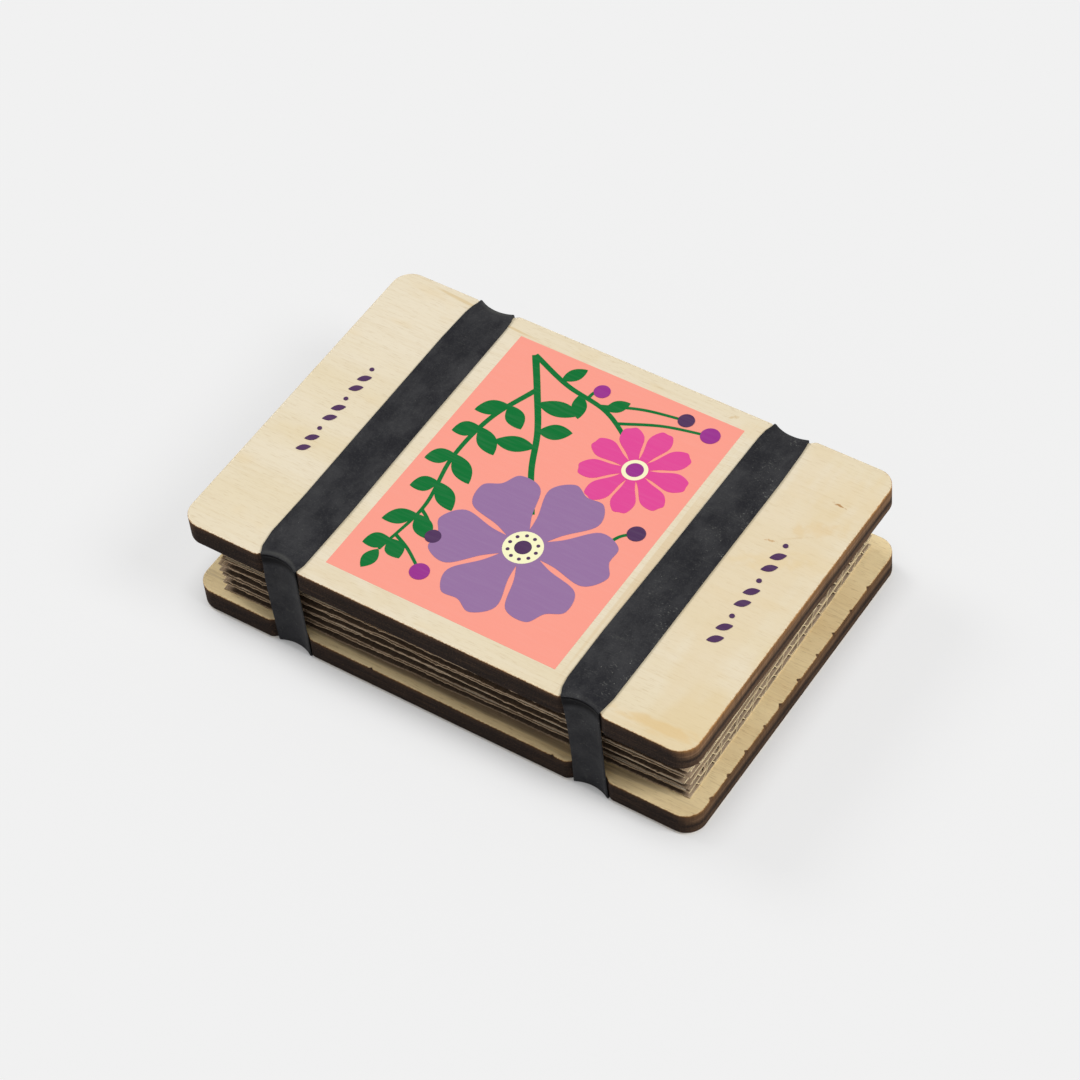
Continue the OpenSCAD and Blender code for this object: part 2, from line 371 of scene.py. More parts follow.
def dusted_rubber(name, base):
    """Natural rubber, calendered and cut into a band: matt charcoal with patches of talc, a few
    pale specks and faint scratches across it, worn grey with a painted highlight on the top folds'
    ridges and painted shade in the creases below them. Less talc lower down the sides is partly
    painted shade."""
    material, tree, shader = new_material(name)
    talc, dust, highlight_and_shade = (add(tree, "Attribute", out="Fac", attribute_name=key)
                        for key in ("talc_share", "dust_share", "wear_share"))
    bloom = pattern(tree, (7, 10, 8), 0.32, 0.70, 1.0, 5.0, 0.65)
    # Talc lies in patches of fine grains: 0.4 mm here so that they show
    grains = pattern(tree, (0.4, 0.4, 0.4), 0.5, 0.8, 0.4, 3.0, 0.75)
    flecks = pattern(tree, (0.75, 0.4, 0.5), 0.60, 0.68, 0.6, 2.0, 0.6)
    bloom, grains, flecks = (add(tree, "Math", {0: a, 1: b}, operation="MULTIPLY")
                             for a, b in ((bloom, talc), (grains, talc), (flecks, dust)))
    cloud = pattern(tree, (5, 5, 5), 0.45, 0.65, 1.0)
    scratches = pattern(tree, (11, 0.25, 3.0), 0.66, 0.74, 0.3, 1.0, 0.5, 0.15)

    # Round specks in cells of 1.1 mm, in few of the cells where there is little dust
    place = add(tree, "TexCoord", out="Object")
    grid = add(tree, "Mapping", {"Vector": place, "Scale": [1 / (1.1 * MM)] * 3})
    cell = add(tree, "TexVoronoi", {"Vector": grid, "Scale": 1.0}, "Distance")
    chosen = add(tree, "SeparateColor", {0: cell.node.outputs["Color"]})
    chosen = add(tree, "Math", {0: dust, 1: 0.3, 2: chosen}, operation="MULTIPLY_ADD")
    radius = add(tree, "MapRange", {0: chosen, 1: 0.88, 2: 1.3, 3: 0.0, 4: 0.24})
    speck = add(tree, "Math", {0: cell, 1: radius}, operation="LESS_THAN")

    # Painted highlight, with worn grey, on the top fold's ridge and the side run's right edge;
    # painted shade in the crease below the fold
    worn = add(tree, "MapRange", {0: highlight_and_shade, 1: 0.0, 2: 1.0, 3: 0.0, 4: 0.75})
    crease_shade = add(tree, "MapRange", {0: highlight_and_shade, 1: 0.0, 2: -0.8, 3: 0.0, 4: 1.0})
    # The rollers' skin is finer than 0.1 mm: drawn 0.5 mm coarse so that it shows
    skin = pattern(tree, (0.5, 0.5, 0.5), 0.3, 0.7, 1.0, 3.0, 0.6)
    layers = [(bloom, "#3B3B3D"), (grains, "#5A5B58"),
              (scratches, "#4C4D4A"), (worn, "#50504D"),
              (crease_shade, "#060508"),
              (add(tree, "Math", {0: flecks, 1: cloud}, operation="MULTIPLY"), "#8E8F88"),
              (add(tree, "Math", {0: speck, 1: 0.5}, operation="MULTIPLY"), "#93948C")]
    coat(tree, shader, base, layers, skin, 0.02, 0.6,
         {"Roughness": 0.6, "IOR": 1.52, "Specular IOR Level": 0.08})
    return material


# Ink and floor

def screen_ink(name, base):
    """Opaque screen-printing ink: flat colour with a faint unevenness from the wood below."""
    material, tree, shader = new_material(name)
    grain = pattern(tree, (2.5, 0.3, 1), 0.3, 0.7)
    uneven = pattern(tree, (9, 0.7, 3), 0.4, 0.75, 0.015, 3.0)
    coat(tree, shader, base, [(uneven, "#FFFFFF")], grain, 0.005, 0.2,
         {"Roughness": 0.65, "Specular IOR Level": 0.15})
    return material


def matt_floor(name, colour, glow):
    """Matt paper sweep: for the eye, and in reflections, part of it is even white, so that the
    shadows on it stay light, except within a few millimetres of the object."""
    material, tree, shader = new_material(name)
    wire(tree, shader, {"Base Color": colour, "Roughness": 1.0, "Specular IOR Level": 0.0})
    rays = add(tree, "LightPath", out="Is Camera Ray").node.outputs
    seen = add(tree, "Math", {0: rays["Is Camera Ray"], 1: rays["Is Glossy Ray"]})
    seen = add(tree, "Math", {0: seen, 1: rays["Is Transmission Ray"]}, use_clamp=True)
    clear = add(tree, "AmbientOcclusion", {"Distance": 9 * MM}, "AO", samples=8)
    share = add(tree, "MapRange", {0: clear, 1: 0.45, 2: 1.0, 3: 0.15, 4: glow})
    share = add(tree, "Math", {0: seen, 1: share}, operation="MULTIPLY")
    even = add(tree, "Emission", {"Color": colour, "Strength": 1.0})
    both = add(tree, "MixShader", {0: share, 1: shader.outputs[0], 2: even})
    wire(tree, tree.nodes["Material Output"], {"Surface": both})
    return material


# Mesh helpers

def new_object(name, points, faces, material, values=None, sharp=35.0):
    """A mesh object from points in millimetres, with values kept at its points."""
    mesh = bpy.data.meshes.new(name)
    mesh.from_pydata([(x * MM, y * MM, z * MM) for x, y, z in points], [], faces)
    mesh.materials.append(material)
    mesh.polygons.foreach_set("use_smooth", [True] * len(mesh.polygons))
    mesh.set_sharp_from_angle(angle=math.radians(sharp))
    for key, data in (values or {}).items():
        mesh.attributes.new(key, "FLOAT", "POINT").data.foreach_set("value", data)
    mesh.validate()
    mesh.update()
    piece = bpy.data.objects.new(name, mesh)
    bpy.context.scene.collection.objects.link(piece)
    return piece


def loft(rings, looped=False):
    """Points and faces of a skin over closed rings, with flat ends unless the path is looped."""
    count, points = len(rings[0]), [p for ring in rings for p in ring]
    faces = []
    for i in range(len(rings) if looped else len(rings) - 1):
        a, b = i * count, (i + 1) % len(rings) * count
        faces += [(a + j, a + (j + 1) % count, b + (j + 1) % count, b + j) for j in range(count)]
    if not looped:
        faces.append(tuple(reversed(range(count))))
        faces.append(tuple(range(len(points) - count, len(points))))
    return points, faces


def slab(top, bottom):
    """Points and faces of a closed sheet between two grids of points, seen from above."""
    nu, nv = len(top), len(top[0])
    points = [p for row in top for p in row] + [p for row in bottom for p in row]
    under, faces = nu * nv, []
    for i in range(nu - 1):
        for j in range(nv - 1):
            a, b, c, d = (i * nv + j, (i + 1) * nv + j, (i + 1) * nv + j + 1, i * nv + j + 1)
            faces.append((a, b, c, d))
            faces.append((d + under, c + under, b + under, a + under))
    rim = [i * nv for i in range(nu)] + [(nu - 1) * nv + j for j in range(1, nv)]
    rim += [i * nv + nv - 1 for i in range(nu - 2, -1, -1)] + [j for j in range(nv - 2, 0, -1)]
    for a, b in zip(rim, rim[1:] + rim[:1]):
        faces.append((b, a, a + under, b + under))
    return points, faces


def sheet(xs, ys, spot):
    """Points, faces and values of a closed sheet. At each place, spot gives the upper point, the
    lower point and the values kept at each of the two."""
    rows = [[spot(x, y) for y in ys] for x in xs]
    top, bottom, high_values, low_values = ([[place[k] for place in row] for row in rows]
                                            for k in range(4))
    points, faces = slab(top, bottom)
    return points, faces, [value for row in high_values + low_values for value in row]


def joined(parts):
    """Several (points, faces) as one."""
    points, faces = [], []
    for some_points, some_faces in parts:
        faces += [tuple(i + len(points) for i in face) for face in some_faces]
        points += some_points
    return points, faces


# Boards

OUTLINE_STEP = 0.3

# A board's edge as (inset, distance from the underside or below the face, distance from the
# char, share of the nick's cut), from the middle of the underside up and on to the face
LOWER_EDGE = ((1.4, 0, 1.2, 0), (0.5, 0, 0.4, 0), (0.12, 0, -0.1, 0), (0.03, 0.03, -1, 0),
              (0, 0.15, -1, 0))
UPPER_EDGE = ((0, 0.9, -1, 0.2), (0, 0.3, -1, 0.9), (0.02, 0.1, -0.08, 1), (0.06, 0.03, 0.03, 1),
              (0.16, 0.006, 0.15, 1), (0.32, 0, 0.32, 1), (0.6, 0, 0.6, 0.75), (1.0, 0, 1.0, 0.4),
              (1.4, 0, 1.4, 0))

# Unevenness of the cut, as (depth, ripples per millimetre along it, ripples upwards), and how
# far inside the outline it stays on average
CUT_RIPPLES = ((0.022, 0.9, 0.35), (0.012, 2.7, 0.5))
CUT_INSET = 0.035

# How much less the far and left edges are scorched, and how near a short end the plies show
CLEANER_EDGE = 0.12
PLIES_REACH = 10

# Where the beam bit deeper into the bottom board
RIGHT_NICKS = (-41.5, -33.5, -25, -16.8, -8.4, 0.3, 8.8, 17.3, 25.6, 34)
NEAR_NICKS = (-19.5, 34.5)
LEFT_NICKS = range(-36, 40, 8)


def board_outline(sizes):
    """The boards' outline as (x, y, outward x, outward y), walked with the wood on the left."""
    half_l, half_w = TOP_HIGH.x, TOP_HIGH.y
    r, nr, sr = in_mm(sizes.corner_r), in_mm(sizes.notch_r), in_mm(sizes.shoulder_r)
    notch_x = (BAND_LOW.x + BAND_HIGH.x) / 2
    hollow_y = half_w - in_mm(sizes.notch_d) + nr
    shoulder_y = half_w - sr
    dy = hollow_y - shoulder_y
    dx = math.sqrt((nr + sr) ** 2 - dy ** 2)
    lean = math.atan2(dy, dx)

    def straight(a, b, normal):
        count = max(int(math.dist(a, b) / OUTLINE_STEP), 2)
        return [(lerp(a[0], b[0], i / count), lerp(a[1], b[1], i / count), *normal)
                for i in range(count)]

    def arc(centre, radius, start, end, out=1):
        count = max(int(abs(end - start) * radius / OUTLINE_STEP), 6)
        angles = [lerp(start, end, i / count) for i in range(count)]
        return [(centre[0] + radius * math.cos(t), centre[1] + radius * math.sin(t),
                 out * math.cos(t), out * math.sin(t)) for t in angles]

    quarter = straight((half_l, 0), (half_l, half_w - r), (1, 0))
    quarter += arc((half_l - r, half_w - r), r, 0, math.pi / 2)
    quarter += straight((half_l - r, half_w), (notch_x + dx, half_w), (0, 1))
    quarter += arc((notch_x + dx, shoulder_y), sr, math.pi / 2, math.pi - lean)
    quarter += arc((notch_x, hollow_y), nr, -lean, -math.pi + lean, out=-1)
    quarter += arc((notch_x - dx, shoulder_y), sr, lean, math.pi / 2)
    quarter += straight((notch_x - dx, half_w), (0, half_w), (0, 1))
    mirrored = [(-x, y, -nx, ny) for x, y, nx, ny in reversed(quarter + [(0, half_w, 0, 1)])]
    half = quarter + mirrored[:-1]
    return half + [(-x, -y, -nx, -ny) for x, y, nx, ny in half]


def burnt_nicks():
    """The bottom board's nicks as (x, y, depth, width)."""
    rng, half_l, half_w = random.Random(11), BOTTOM_HIGH.x, BOTTOM_HIGH.y
    nicks = [(half_l, y + rng.uniform(-0.5, 0.5), rng.uniform(0.22, 0.42), rng.uniform(0.5, 0.8))
             for y in RIGHT_NICKS]
    nicks += [(x, -half_w, rng.uniform(0.15, 0.25), 0.7) for x in NEAR_NICKS]
    return nicks + [(-half_l, y, rng.uniform(0.25, 0.5), 0.45) for y in LEFT_NICKS]


def board_piece(name, sizes, low_z, thick, material, nicks, seed):
    """A laser-cut board: eased edges, slightly uneven cut and burnt nicks in its upper edge."""
    outline = board_outline(sizes)
    profile = [*LOWER_EDGE, *((0, thick * k / 8, -1, 0) for k in range(1, 7))]
    profile += [(inset, thick - below, char, cut) for inset, below, char, cut in UPPER_EDGE]
    rings, edge, ply, end = [], [], [], []
    for inset, z, char, cut_share in profile:
        ring = []
        for x, y, nx, ny in outline:
            inward = inset + CUT_INSET
            if 0 < z < thick:
                inward += sum(depth * wander(seed + k, x * along, y * along, z * up)
                              for k, (depth, along, up) in enumerate(CUT_RIPPLES))
            nick = 0.0
            for at_x, at_y, depth, width in nicks:
                away = math.hypot(x - at_x, y - at_y) / width
                nick = max(nick, depth * max(0.0, 1 - away * (1 + 0.4 * wander(seed + 2, x, y))))
            inward += nick * cut_share
            ring.append((x - nx * inward, y - ny * inward, low_z + z))
            # The beam came in from the near side and the right end: they are scorched most
            clean = CLEANER_EDGE * min(max(ny - nx, 0.0), 1.0) if z > thick / 2 else 0.0
            edge.append(char + clean - 1.2 * nick * cut_share)
            ply.append(z / thick - min(1.4 * nick, 0.4) * cut_share)
            end.append(abs(nx) ** 1.5 if abs(x) > TOP_HIGH.x - PLIES_REACH else 0.0)
        rings.append(ring)
    points, faces = loft(rings)
    return new_object(name, points, faces, material,
                      {"edge_mm": edge, "ply_share": ply, "end_share": end})


# Pile

# How far each card's wave is set back from the long sides, lowest card first, as shares of the
# full setback: some gaps between the liners look filled and others open
WAVE_BACK_SHARES = (0.35, 1.0, 0.9, 0.25, 0.8, 0.6)

# A liner's wear: widths of its worn rim, of the strip that droops, of the one that rolls and of
# its worn short ends, then its rim's mean inset, and the depths of its tatters and tears
RIM, DROOPING, ROLLING, WORN_END = 1.2, 5.0, 9.0, 1.5
RIM_INSET, TATTER, TEAR = 0.25, 0.4, 0.6

# Distances from an edge at which the sheets have points, closer together where they are worn
LINER_SIDE = (0, 0.12, 0.35, 0.9, 2.0, 4.5, 10, 22)
WAVE_END = (0, 0.08, 0.3, 0.8, 1.6, 3.0)
PAPER_END = (0, 0.3, 1, 3, 6, 10, 15, 20, 26, 32, 38, 44, 50, 56, 62)
PAPER_SIDE = (0, 0.3, 1, 3, 7, 12, 18, 25, 32, 38)

# The wave's crests are pressed flat where they are glued to the liners, and sink in a little
CREST_FLATNESS, CREST_BITE = 2, 0.02
# The wave's crushed ends: how far in they reach, how much thicker they are, and how far they
# are pushed in; and how far its sides wander
CRUSH_REACH, CRUSH_SWELL, CRUSH_PUSH, WAVE_WANDER = 1.4, 0.3, 0.12, 0.9

# Rolls of the whole pile as (height, lumps along X, Y and Z)
LONG_ROLL, SHORT_ROLL = (0.32, 34, 26), (0.10, 11, 14, 6)


def sheet_place(node):
    """Middle, turn, length, width and heights of a sheet, from its CAD node's points."""
    points = [v.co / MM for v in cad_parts[node].data.vertices]
    low, high = box_mm(node)
    mid_x = (low.x + high.x) / 2
    ends = [[p for p in points if p.x < mid_x], [p for p in points if p.x >= mid_x]]
    left, right = (sum(end, Vector()) / len(end) for end in ends)
    left.z = right.z = 0
    turn = math.atan2(right.y - left.y, right.x - left.x)
    length = (right - left).length
    width = (high.y - low.y - length * abs(math.sin(turn))) / math.cos(turn)
    return (left + right) / 2, turn, length, width, low.z, high.z


def pile_warp(x, y, z):
    """How far a point of the pile is lifted: the sheets roll a little, and stay in order."""
    share = (z - BOTTOM_HIGH.z) / (TOP_LOW.z - BOTTOM_HIGH.z)
    free = math.sin(math.pi * min(max(share, 0), 1))
    return free * sum(height * wander(seed, *(p / s for p, s in zip((x, y, z), lumps)))
                      for seed, (height, *lumps) in ((3, LONG_ROLL), (4, SHORT_ROLL)))


def settle(points, centre, turn):
    """Sheet points put at their place in the pile."""
    c, s = math.cos(turn), math.sin(turn)
    placed = [(centre.x + x * c - y * s, centre.y + x * s + y * c, z) for x, y, z in points]
    return [(x, y, z + pile_warp(x, y, z)) for x, y, z in placed]


def edge_steps(width, steps):
    """Places across a sheet, close together near its two edges."""
    half = width / 2
    kept = [s for s in steps if s < half]
    return [-half + s for s in kept] + [0.0] + [half - s for s in reversed(kept)]


def liner(seed, length, width, low, high, cavity, covered):
    """One flat liner with worn edges. cavity is 1 if the wave lies above it, else -1. Its outer
    face gets painted shade too if another sheet covers it."""
    count, crisp = 340, 0.08
    xs = [lerp(-length / 2, length / 2, i / count) for i in range(count + 1)]
    xs[1:1], xs[-1:-1] = [xs[0] + crisp], [xs[-1] - crisp]

    def spot(x, y):
        # x and y are divided by the length of each noise's lumps
        side = 1 if y > 0 else -1
        away, end_away = width / 2 - abs(y), length / 2 - abs(x)
        rim = near(away, RIM)
        ragged = 0.3 * wander(seed, x / 9, side) + 0.16 * wander(seed + 1, x / 1.6, side)
        tatter = TATTER * max(0.0, wander(seed + 2, x / 0.8, side * 3)) ** 2
        droop = (0.05 + 0.4 * max(0.0, wander(seed + 3, x / 19, side))) * near(away, DROOPING)
        droop += 0.07 * wander(seed + 4, x / 3.5, y / 3.5) * near(away, ROLLING)
        tear = TEAR * rim * max(0.0, wander(seed + 5, x / 1.1, side * 5)) ** 2
        frayed = 0.12 * wander(seed + 6, y / 1.5, x * 0.02) - 0.06
        px = x + math.copysign(near(end_away, WORN_END), x) * frayed
        py = y - side * rim * (RIM_INSET - ragged - tatter)
        lift = cavity * max(droop, 0.0)
        # Painted shade: darker further in from the ends and long sides, and on an outer face that
        # another sheet covers
        depth = min(end_away, 8 * away)
        outer = min(3 * depth, 1.6) if covered else 0.0
        above, below = (depth, outer) if cavity > 0 else (outer, depth)
        return ((px, py, high + lift + max(cavity, 0) * tear),
                (px, py, low + lift + min(cavity, 0) * tear), (end_away, above), (end_away, below))

    return sheet(xs, edge_steps(width, LINER_SIDE), spot)


def wave(seed, length, width, low, high, sizes, back):
    """The wavy paper between the liners. It stops back millimetres short of the long sides and
    its cut ends are crushed a little thicker."""
    pitch, liner_t, medium_t = (in_mm(v) for v in (sizes.flute_pitch, sizes.liner_t,
                                                     sizes.medium_t))
    count, middle, flat = int(width / pitch * 24), (high + low) / 2, math.tanh(CREST_FLATNESS)
    inner, parts = length / 2 - 5, 60
    xs = [-length / 2 + s for s in WAVE_END]
    xs += [lerp(-inner, inner, i / parts) for i in range(parts + 1)]
    xs += [length / 2 - s for s in reversed(WAVE_END)]

    def spot(x, share):
        end_away = length / 2 - abs(x)
        crushed = near(end_away, CRUSH_REACH)
        thick = medium_t * (1 + CRUSH_SWELL * crushed)
        amp = (high - low) / 2 - liner_t - thick / 2 + CREST_BITE
        edge_y = width / 2 - lerp(back, min(back, WAVE_WANDER), crushed)
        edge_y += WAVE_WANDER * wander(seed + 2, x / 5) * (1 - crushed)
        y = lerp(-edge_y, edge_y, share)
        phase = 2 * math.pi * (y / pitch + 0.06 * wander(seed, x / 30, y / 12))
        bent = math.tanh(CREST_FLATNESS * math.sin(phase))
        z = middle + amp * bent / flat
        slope = amp * CREST_FLATNESS * 2 * math.pi / pitch * math.cos(phase) * (1 - bent ** 2) / flat
        lean = 1 / math.hypot(1, slope)
        ny, nz = -slope * lean * thick / 2, lean * thick / 2
        px = x - math.copysign(CRUSH_PUSH, x) * crushed * (
            1 + 2 * wander(seed + 1, y / 0.8, x * 0.01))
        # Painted shade in the gaps: darker further in from the ends and the long sides
        kept = (end_away, min(end_away, 1.2 * (width / 2 - abs(y))))
        return (px, y + ny, z + nz), (px, y - ny, z - nz), kept, kept

    return sheet(xs, [j / count for j in range(count + 1)], spot)


def card_piece(node, seed, sizes, material):
    """A corrugated card: two liners with frayed edges and the wave between them."""
    centre, turn, length, width, low, high = sheet_place(node)
    liner_t = in_mm(sizes.liner_t)
    back = in_mm(sizes.wave_back) * WAVE_BACK_SHARES[CARDS.index(node)]
    parts = [liner(seed, length, width, low, low + liner_t, 1, True),
             liner(seed + 10, length, width, high - liner_t, high, -1, node != CARDS[-1]),
             wave(seed + 20, length, width, low, high, sizes, back)]
    points, faces = joined([part[:2] for part in parts])
    end, depth = zip(*(value for part in parts for value in part[2]))
    return new_object(node + "_dressed", settle(points, centre, turn), faces, material,
                      {"end_mm": end, "depth_mm": depth})


def paper_piece(node, seed, material):
    """A loose sheet of absorbent paper with a soft torn edge."""
    centre, turn, length, width, low, high = sheet_place(node)

    def torn(place, half, along, own_seed):
        pull = 0.15 + 0.2 * wander(own_seed, along / 6)
        return place - math.copysign(near(half - abs(place), RIM) * pull, place)

    rows = [[(torn(x, length / 2, y, seed), torn(y, width / 2, x, seed + 1))
             for y in edge_steps(width, PAPER_SIDE)] for x in edge_steps(length, PAPER_END)]
    points, faces = slab(*([[(x, y, z) for x, y in row] for row in rows] for z in (high, low)))
    return new_object(node + "_dressed", settle(points, centre, turn), faces, material)


# Bands

# How each band lies: how dusty it is, how strong the worn grey and painted highlight on its
# folds are, its reach at the far fold, its left and right edge along the top run as (y, left x,
# right x), and its reach down the near side as (share of the height from the top, left, right)
BAND_LOOKS = {
    "left_band": {
        "dust": 0.15, "worn": 0.75, "far": (5.7, 5.2),
        "run": ((-49, -50.2, -38.4), (-47, -50.95, -38.1), (-42, -51.65, -38.05),
                (-28, -51.45, -37.95), (0, -51.7, -38.45), (34, -51.9, -38.75),
                (44, -51.6, -38.85), (47, -51.2, -39.1), (49, -50.5, -39.4)),
        "sides": ((0.0, 5.2, 6.05), (0.1, 5.15, 5.6), (0.3, 5.35, 5.35), (0.65, 5.2, 5.9),
                  (1.0, 4.9, 5.7))},
    "right_band": {
        "dust": 0.75, "worn": 0.15, "far": (5.8, 4.8),
        "run": ((-49, 38.6, 50.0), (-47, 37.95, 50.2), (-44, 37.45, 50.55), (-28, 37.2, 50.55),
                (0, 37.55, 50.35), (34, 37.7, 50.25), (44, 37.75, 49.9), (47, 38.05, 49.7),
                (49, 38.7, 49.5)),
        "sides": ((0.0, 5.65, 5.35), (0.1, 5.4, 5.1), (0.35, 5.0, 4.9), (0.7, 4.8, 5.15),
                  (1.0, 4.9, 5.5))},
}

# A band's section: columns across each face, and the points of its rounded right edge as (share
# of half the width, share of the thickness). The left edge mirrors them
BAND_COLUMNS = 24
BAND_EDGE = ((0.985, 0.06), (1.0, 0.3), (1.0, 0.7), (0.985, 0.94))

# How far the rubber swells out at the top fold, and over what length on the board and down the
# side; how far it stands off the middle of the hollow, half of the width over which it does so,
# and how far it bellies out between its folds
CROWN_OUT, CROWN_ON_BOARD, CROWN_ON_SIDE = 0.5, 1.5, 0.6
STAND_OFF, STAND_OFF_HALF, SIDE_SLACK = 0.35, 5.75, 0.2

# How deep below the top fold the painted shade of its crease is darkest, and over what length
# it fades
CREASE_SHADE_DEPTH, CREASE_SHADE_FADE = 1.8, 1.2

# Lengths over which a band draws in towards its folds, on the top and under the bottom, and the
# air that it leaves to the box of its CAD node
TOP_TAPER, UNDER_TAPER, BOX_AIR = 2.5, 6.0, 0.01


def table_at(table, place, column):
    """Value in a column of a table, at a place between its rows."""
    for a, b in zip(table, table[1:]):
        if place <= b[0]:
            return lerp(a[column], b[column], max(place - a[0], 0.0) / (b[0] - a[0]))
    return table[-1][column]


def band_section():
    """A band's section as (across, share of the thickness), once round."""
    inner = [lerp(-1, 1, j / BAND_COLUMNS) for j in range(1, BAND_COLUMNS)]
    left = [(-u, h) for u, h in reversed(BAND_EDGE)]
    return ([left[-1]] + [(u, 0.0) for u in inner] + list(BAND_EDGE)
            + [(u, 1.0) for u in reversed(inner)] + left[:-1])


def band_stations():
    """Stations once round a band's loop as (kind, share, side, upper): runs from the boards'
    middle to the fold, turns over their edges, and the sides down the hollows. They lie closer
    together near the top folds and their creases."""
    runs = [0.5 * i / 16 for i in range(16)] + [1 - 0.5 * (1 - i / 30) ** 2 for i in range(31)]
    turns = [i / 8 for i in range(1, 8)]
    sides = [0.07 * i / 12 for i in range(12)] + [lerp(0.07, 1, i / 22) for i in range(23)]
    stations = []
    for side in (-1, 1):
        down = [("run", s, side, True) for s in runs] + [("turn", t, side, True) for t in turns]
        down += [("side", s, side, True) for s in sides]
        down += [("turn", t, side, False) for t in reversed(turns)]
        down += [("run", s, side, False) for s in reversed(runs)]
        stations += down if side < 0 else down[::-1][1:-1]
    return stations


class BandShape:
    """Points of a rubber band. u runs from -1 to 1 across it, h from 0 on its inner face to 1 on
    its outer one, and side is -1 at the boards' near side and 1 at the far one."""

    def __init__(self, node, sizes, seed):
        low, high = box_mm(node)
        self.look, self.seed, self.middle_x = BAND_LOOKS[node], seed, (low.x + high.x) / 2
        self.thick = in_mm(sizes.band_t)
        self.reach = in_mm(sizes.notch_r) - in_mm(sizes.band_gap)
        self.hollow_y = TOP_HIGH.y - in_mm(sizes.notch_d) + in_mm(sizes.notch_r)
        self.crown_up = high.z - TOP_HIGH.z - self.thick - BOX_AIR
        self.height = TOP_HIGH.z - BOTTOM_LOW.z

    def half_at(self, u, share, side):
        """Half of the band's width in the hollow, on u's half of the band."""
        column = 1 if u < 0 else 2
        half = table_at(self.look["sides"], share, column)
        return half if side < 0 else lerp(self.look["far"][column - 1], half, ease(share / 0.3))

    def crown_at(self, u):
        """How far the top fold's ridge swells up."""
        return self.crown_up * (1 - 0.4 * u * u)

    def wall(self, u, side, share):
        """Place on the band's inner face in the hollow, and the way out of the wood."""
        x = u * self.half_at(u, share, side)
        flat = STAND_OFF * ease(share) * max(1 - (x / STAND_OFF_HALF) ** 2, 0.0)
        lean = x / self.reach
        rise = math.sqrt(1 - lean * lean)
        return x, side * (self.hollow_y - self.reach * rise + flat), -lean, side * rise

    def run_point(self, u, h, share, side, upper):
        """Point of a flat run: share is 0 at the board's middle and 1 at the fold."""
        fold_x, fold_y, _, _ = self.wall(u, side, 0 if upper else 1)
        y, away = fold_y * share, abs(fold_y) * (1 - share)
        left, right = (table_at(self.look["run"], y, column) - self.middle_x
                       for column in (1, 2))
        draw = 1 - max(1 - away / (TOP_TAPER if upper else UNDER_TAPER), 0) ** 2
        x = lerp(fold_x, lerp(left, right, (u + 1) / 2), draw)
        if not upper:
            return x, y, BOTTOM_LOW.z * (1 - h)
        crown = self.crown_at(u) * swell(away, CROWN_ON_BOARD)
        ripple = 0.05 * wander(self.seed + 1, u * 2.5, share * 14 * side) * min(1, away / 3)
        return x, y, TOP_HIGH.z + crown + h * (self.thick + ripple)

    def turn_point(self, u, h, share, side, upper):
        """Point of a fold: share is 0 on the board's face and 1 in the hollow."""
        x, y, nx, ny = self.wall(u, side, 0 if upper else 1)
        angle = share * math.pi / 2
        out = CROWN_OUT * (1 - u * u) * ease(share * 1.4) if upper else 0.0
        sideways = (h * self.thick + out) * math.sin(angle)
        if upper:
            z = TOP_HIGH.z + (h * self.thick + self.crown_at(u)) * math.cos(angle)
        else:
            z = BOTTOM_LOW.z * (1 - h * math.cos(angle))
        return x + nx * sideways, y + ny * sideways, z

    def side_point(self, u, h, share, side):
        """Point of the run down the hollows: share is 0 at the top fold and 1 at the bottom."""
        x, y, nx, ny = self.wall(u, side, share)
        depth = share * self.height
        crown = CROWN_OUT * (1 - u * u) * swell(depth, CROWN_ON_SIDE)
        slack = SIDE_SLACK * math.sin(math.pi * share) * (1 - u * u)
        rough = 0.05 * wander(self.seed + 2, u * 2, share * 5, side) * min(1, depth / 3)
        out = max(h * self.thick + crown + slack + rough, 0.0)
        return x + nx * out, y + ny * out, TOP_HIGH.z - depth

    def point(self, station, u, h):
        """Point of the section at a station, in the frame's own place."""
        kind, share, side, upper = station
        if kind == "side":
            x, y, z = self.side_point(u, h, share, side)
        else:
            make = self.run_point if kind == "run" else self.turn_point
            x, y, z = make(u, h, share, side, upper)
        return self.middle_x + x, y, z

    def highlight_and_shade_at(self, station, u):
        """Towards 1 for the painted highlight on the top fold's ridge, and -1 for the painted shade
        in the crease below it.
        """
        kind, share, _, upper = station
        worn, crease = self.look["worn"], 0.95 - 0.25 * u
        if kind == "side":
            depth = share * self.height
            # Painted highlight along the side run's right edge
            edge = 0.4 * worn * max(u, 0) ** 6 * ease((depth - 2) / 3)
            return edge - crease * near(depth - CREASE_SHADE_DEPTH, CREASE_SHADE_FADE)
        if not upper:
            return 0.0
        past = share if kind == "turn" else -self.hollow_y * (1 - share)
        ridge = worn * (1 - 0.6 * u * u) * swell(past - 0.1, 0.55)
        return ridge - crease * ease((past - 0.5) / 0.3)


